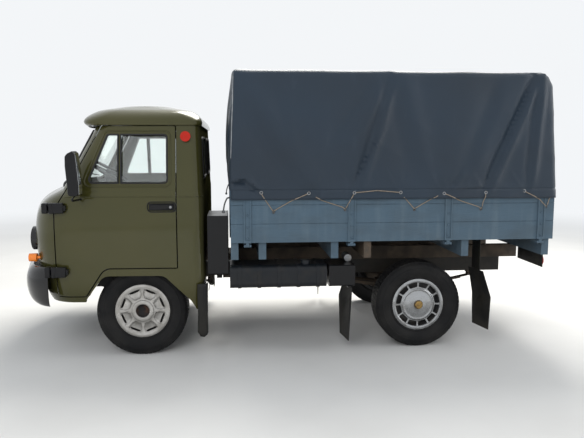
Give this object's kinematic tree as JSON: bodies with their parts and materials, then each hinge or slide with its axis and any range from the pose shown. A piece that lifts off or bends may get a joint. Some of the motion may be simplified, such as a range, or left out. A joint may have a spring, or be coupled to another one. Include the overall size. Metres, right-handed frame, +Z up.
{
  "type": "military cargo truck",
  "caption": "Light forward-control four-wheel-drive truck with a two-seat cab, drop-side plank bed and a laced canvas tilt over hoops.",
  "frame": {"origin": "on the ground, midway along the length and width of the truck", "axes": "+Z up, +X towards the tail so the cab faces -X, +Y to the truck's right-hand side"},
  "size_m": [4.462, 2.24, 2.3453],
  "materials": {
    "cab_paint": "glossy olive green",
    "bed_paint": "matt grey-blue paint on planks",
    "chassis_paint": "dark, dusty",
    "black_gloss": "glossy black",
    "black_matte": "matt black",
    "tilt_cloth": "coated slate cloth",
    "tyre": "matt",
    "wheel_silver": "silver paint",
    "bare_steel": "dirty",
    "glass": "clear",
    "lamp_glass": "clear, fluted",
    "orange_glass": "translucent orange",
    "red_glass": "translucent red",
    "seat_cloth": "grey beige cloth",
    "cabin_trim": "dark trim",
    "rubber": "matt"
  },
  "bodies": {
    "chassis": {"bed_beams": "bed_paint", "bed_floor": "bed_paint", "board_hinges": "bed_paint", "bumper": "black_gloss", "cab_back": "cab_paint", "cab_floor": "cabin_trim", "cab_front": "cab_paint", "cab_glass": "glass", "cab_roof": "cab_paint", "controls": "black_matte", "dashboard": "cabin_trim", "door_hinge_brackets": "black_matte", "drivetrain": "bare_steel", "engine_cover": "cabin_trim", "exhaust": "bare_steel", "frame": "chassis_paint", "front_axle": "bare_steel", "fuel_tank": "chassis_paint", "headlamp_lenses": "lamp_glass", "hoops": "chassis_paint", "leaf_springs": "bare_steel", "mud_flaps": "rubber", "nose_trim": "cab_paint", "rear_axle": "bare_steel", "red_lamps": "red_glass", "seats": "seat_cloth", "side_boxes": "chassis_paint", "skirt_left": "tilt_cloth", "skirt_rear": "tilt_cloth", "skirt_right": "tilt_cloth", "tilt_ends": "tilt_cloth", "tilt_sides": "tilt_cloth", "tilt_top": "tilt_cloth", "turn_lamps": "orange_glass"},
    "door_left": {"door_left": "cab_paint", "door_glass_left": "glass", "door_fittings_left": "black_matte"},
    "door_right": {"door_right": "cab_paint", "door_glass_right": "glass", "door_fittings_right": "black_matte"},
    "side_board_left": {"side_board_left": "bed_paint"},
    "side_board_right": {"side_board_right": "bed_paint"},
    "tailgate": {"tailgate": "bed_paint"},
    "steering_wheel": {"steering_wheel": "black_matte"},
    "tie_rod": {"tie_rod": "bare_steel"},
    "knuckle_left": {"knuckle_left": "bare_steel"},
    "knuckle_right": {"knuckle_right": "bare_steel"},
    "wheel_front_left": {"tyre_front_left": "tyre", "wheel_front_left": "wheel_silver"},
    "wheel_front_right": {"tyre_front_right": "tyre", "wheel_front_right": "wheel_silver"},
    "wheel_rear_left": {"tyre_rear_left": "tyre", "wheel_rear_left": "wheel_silver"},
    "wheel_rear_right": {"tyre_rear_right": "tyre", "wheel_rear_right": "wheel_silver"}
  },
  "joints": [
    {"name": "door_left_hinge", "type": "hinge", "parent": "chassis", "child": "door_left", "pos_m": [-1.825, -0.93, 0.973], "axis": [0, 0, -1], "range_deg": [0, 70]},
    {"name": "door_right_hinge", "type": "hinge", "parent": "chassis", "child": "door_right", "pos_m": [-1.825, 0.93, 0.973], "axis": [0, 0, 1], "range_deg": [0, 70]},
    {"name": "side_board_left_hinge", "type": "hinge", "parent": "chassis", "child": "side_board_left", "pos_m": [0.882, -0.985, 0.915], "axis": [1, 0, 0], "range_deg": [0, 180], "deforming": ["skirt_left"]},
    {"name": "side_board_right_hinge", "type": "hinge", "parent": "chassis", "child": "side_board_right", "pos_m": [0.882, 0.985, 0.915], "axis": [-1, 0, 0], "range_deg": [0, 180], "deforming": ["skirt_right"]},
    {"name": "tailgate_hinge", "type": "hinge", "parent": "chassis", "child": "tailgate", "pos_m": [2.214, 0, 0.915], "axis": [0, 1, 0], "range_deg": [0, 180], "deforming": ["skirt_rear"]},
    {"name": "steer_left", "type": "hinge", "parent": "chassis", "child": "knuckle_left", "pos_m": [-1.17, -0.6, 0.366], "axis": [0, 0, 1], "range_deg": [-28, 28]},
    {"name": "steer_right", "type": "hinge", "parent": "chassis", "child": "knuckle_right", "pos_m": [-1.17, 0.6, 0.366], "axis": [0, 0, 1], "range_deg": [-28, 28]},
    {"name": "tie_rod_left_eye", "type": "hinge", "parent": "knuckle_left", "child": "tie_rod", "pos_m": [-1.335, -0.6, 0.34], "axis": [0, 0, 1], "range_deg": [-28, 28]},
    {"name": "steering_wheel_turn", "type": "hinge", "parent": "chassis", "child": "steering_wheel", "pos_m": [-1.47, -0.42, 1.478], "axis": [0.5446, 0, 0.8387], "range_deg": [-570, 570]},
    {"name": "wheel_front_left_spin", "type": "hinge", "parent": "knuckle_left", "child": "wheel_front_left", "pos_m": [-1.17, -0.7225, 0.366], "axis": [0, 1, 0], "continuous": true},
    {"name": "wheel_front_right_spin", "type": "hinge", "parent": "knuckle_right", "child": "wheel_front_right", "pos_m": [-1.17, 0.7225, 0.366], "axis": [0, 1, 0], "continuous": true},
    {"name": "wheel_rear_left_spin", "type": "hinge", "parent": "chassis", "child": "wheel_rear_left", "pos_m": [1.13, -0.7225, 0.366], "axis": [0, 1, 0], "continuous": true},
    {"name": "wheel_rear_right_spin", "type": "hinge", "parent": "chassis", "child": "wheel_rear_right", "pos_m": [1.13, 0.7225, 0.366], "axis": [0, 1, 0], "continuous": true}
  ],
  "couplings": [
    {"joint": "steer_right", "follows": "steer_left", "ratio": 1},
    {"joint": "tie_rod_left_eye", "follows": "steer_left", "ratio": -1},
    {"joint": "steering_wheel_turn", "follows": "steer_left", "ratio": 20.3}
  ]
}
